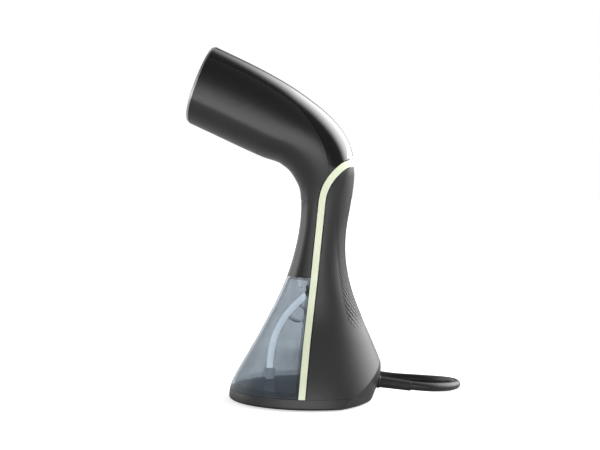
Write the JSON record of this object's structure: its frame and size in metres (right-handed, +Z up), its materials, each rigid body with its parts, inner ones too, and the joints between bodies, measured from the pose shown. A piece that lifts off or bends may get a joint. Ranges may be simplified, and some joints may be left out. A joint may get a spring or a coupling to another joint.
{
  "type": "handheld garment steamer",
  "caption": "Handheld garment steamer: angled steam head on a curved neck, smoked removable water tank in a flared base, pale trim strip, trigger and mains lead.",
  "frame": {"origin": "centre of the base's footprint, on the surface it stands on", "axes": "+Z up, -X the way the steam head faces, +X the way the lead leaves, Y=0 the plane of symmetry"},
  "size_m": [0.2185, 0.3205, 0.2817],
  "materials": {
    "cover_gloss": "gloss black",
    "panel_satin": "satin black",
    "housing_charcoal": "textured charcoal",
    "trim_cream": "pale green cream, satin",
    "tank_smoke": "clear smoked plastic",
    "silicone_pale": "translucent silicone",
    "silicone_smoke": "translucent smoked silicone",
    "rubber_black": "matt",
    "cord_black": "satin PVC",
    "plate_metal": "brushed",
    "cast_metal": "die cast",
    "steel": "plated",
    "copper_coil": "enamelled winding",
    "inner_grey": "moulded",
    "inner_white": "moulded",
    "board_green": "solder mask",
    "light_guide": "frosted",
    "weight_grey": "sintered filter"
  },
  "bodies": {
    "housing": {"foot_tray": "housing_charcoal", "base_plate": "housing_charcoal", "rubber_feet": "rubber_black", "base_screws": "steel", "grip_cover": "housing_charcoal", "trim_strip": "trim_cream", "top_cover": "cover_gloss", "left_shell": "panel_satin", "right_shell": "panel_satin", "neck_floor": "inner_grey", "bulkhead": "inner_grey", "trigger_pin": "steel", "trigger_spring": "steel", "microswitch": "inner_grey", "indicator_ring": "light_guide", "button_switch": "inner_grey", "button_spring": "steel", "steam_plate": "plate_metal", "plate_seal": "rubber_black", "heater_block": "cast_metal", "chamber_lid": "cast_metal", "lid_screws": "steel", "heater_terminals": "steel", "thermostat": "inner_white", "thermal_fuse": "inner_white", "pump_body": "inner_white", "pump_coil": "copper_coil", "pump_head": "inner_white", "steam_hose": "silicone_pale", "inlet_hose": "silicone_pale", "coupling_socket": "inner_grey", "control_board": "board_green", "board_parts": "inner_grey", "board_screws": "steel", "strain_relief": "rubber_black", "cord_clamp": "inner_grey", "inner_lead": "cord_black", "power_cord": "cord_black", "cord_hank": "cord_black", "cord_tie": "rubber_black", "plug_body": "cord_black", "plug_tail": "cord_black", "plug_blades": "steel"},
    "trigger": {"trigger": "panel_satin"},
    "switch_lever": {"switch_lever": "steel"},
    "power_button": {"power_button": "cover_gloss"},
    "tank": {"water_tank": "tank_smoke", "outlet_valve": "inner_grey", "vent_nozzle": "inner_white", "suction_tube": "silicone_pale", "filter_weight": "weight_grey"},
    "filler_plug": {"filler_plug": "silicone_smoke"},
    "pump_piston": {"pump_piston": "steel"}
  },
  "joints": [
    {"name": "trigger_pull", "type": "hinge", "parent": "housing", "child": "trigger", "pos_m": [-0.03297, 0, 0.19983], "axis": [0, -1, 0], "range_deg": [0, 3.5], "stiffness_Nm_per_rad": 0.5, "springref_deg": -5.73},
    {"name": "lever_press", "type": "hinge", "parent": "housing", "child": "switch_lever", "pos_m": [0.00096, 0, 0.18099], "axis": [0, -1, 0], "range_deg": [0, 8.2]},
    {"name": "button_press", "type": "slide", "parent": "housing", "child": "power_button", "axis": [-1, 0, 0], "range_m": [0, 0.001], "stiffness_N_per_m": 400, "springref_m": -0.001},
    {"name": "tank_pull", "type": "slide", "parent": "housing", "child": "tank", "axis": [-1, 0, 0], "range_m": [0, 0.07]},
    {"name": "filler_pull", "type": "slide", "parent": "tank", "child": "filler_plug", "axis": [0, 1, 0], "range_m": [0, 0.014]},
    {"name": "piston_stroke", "type": "slide", "parent": "housing", "child": "pump_piston", "axis": [0, 0, 1], "range_m": [-0.0015, 0.0015], "stiffness_N_per_m": 300}
  ],
  "couplings": [
    {"joint": "lever_press", "follows": "trigger_pull", "ratio": 2.3}
  ]
}
